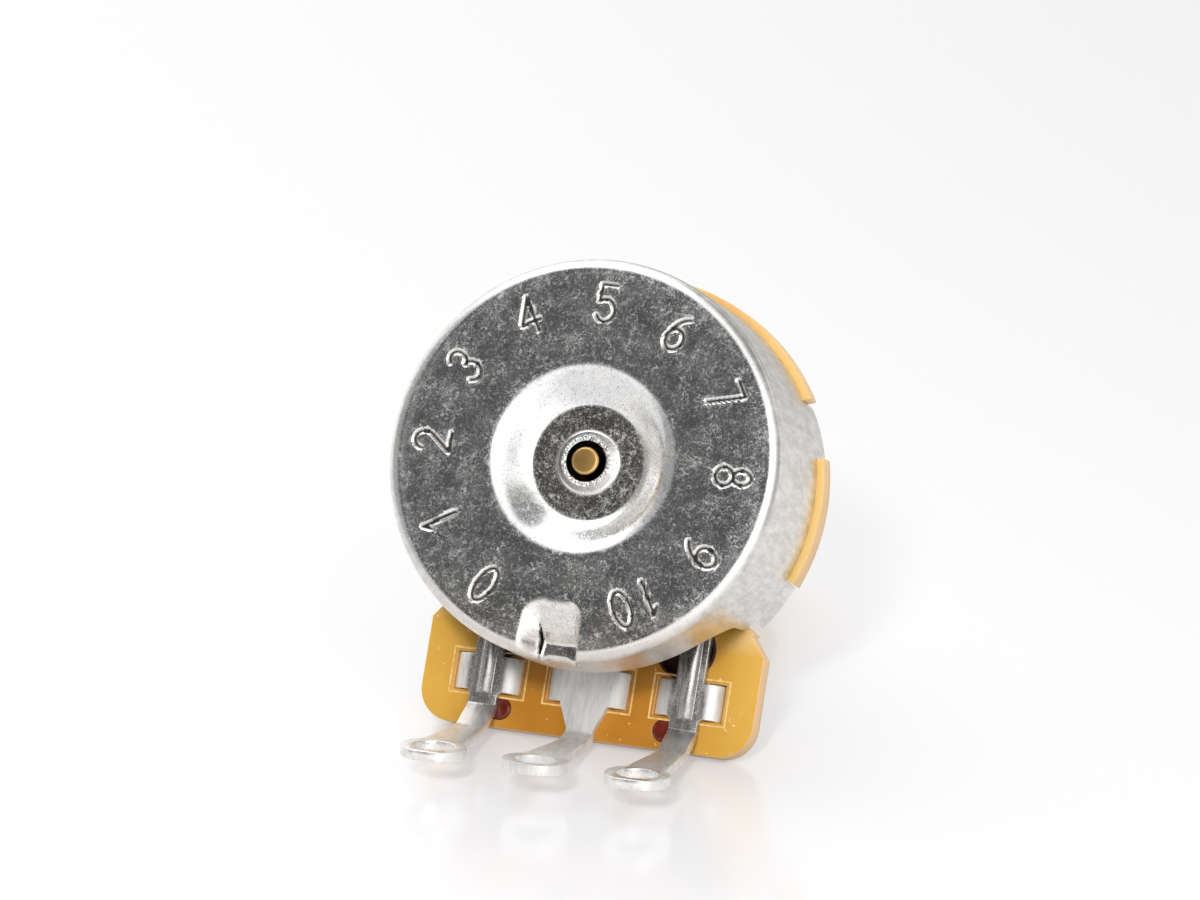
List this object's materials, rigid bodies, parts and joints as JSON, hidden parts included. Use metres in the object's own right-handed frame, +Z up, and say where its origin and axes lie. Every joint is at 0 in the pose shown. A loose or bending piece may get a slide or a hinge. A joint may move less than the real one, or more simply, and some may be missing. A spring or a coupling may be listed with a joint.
{
  "type": "rotary potentiometer",
  "caption": "Panel-mount rotary potentiometer: round metal can with a dished rear face, phenolic element board, eyelet solder terminals, threaded bushing and a solid turning shaft.",
  "frame": {"origin": "centre of the mounting face, on the shaft axis", "axes": "+Y along the shaft, away from the can; +Z up, opposite the terminals; +X to the right for someone who looks at the rear cover"},
  "size_m": [0.0248, 0.0351, 0.0314],
  "materials": {
    "tinned_steel": "tin plated, satin bright",
    "phenolic": "satin",
    "carbon_film": "matte",
    "silver_film": "dull silver print",
    "tinned_brass": "tin plated, bright",
    "peg_resin": "glossy",
    "plate_steel": "zinc plated",
    "nickel_brass": "nickel plated",
    "shaft_brass": "turned",
    "ring_steel": "plain",
    "rotor_resin": "moulded",
    "spring_bronze": "plain"
  },
  "bodies": {
    "housing": {"rear_cover": "tinned_steel", "element_board": "phenolic", "resistive_track": "carbon_film", "collector_track": "silver_film", "end_film_left": "silver_film", "end_film_right": "silver_film", "terminal_left": "tinned_brass", "terminal_middle": "tinned_brass", "terminal_right": "tinned_brass", "insulating_peg_left": "peg_resin", "insulating_peg_right": "peg_resin", "front_plate": "plate_steel", "bushing": "nickel_brass"},
    "turning_shaft": {"shaft": "shaft_brass", "retaining_ring": "ring_steel", "rotor": "rotor_resin", "contact_spring": "spring_bronze"}
  },
  "joints": [
    {"name": "shaft_turn", "type": "hinge", "parent": "housing", "child": "turning_shaft", "pos_m": [0, 0, 0], "axis": [0, 1, 0], "range_deg": [-150, 150]}
  ]
}
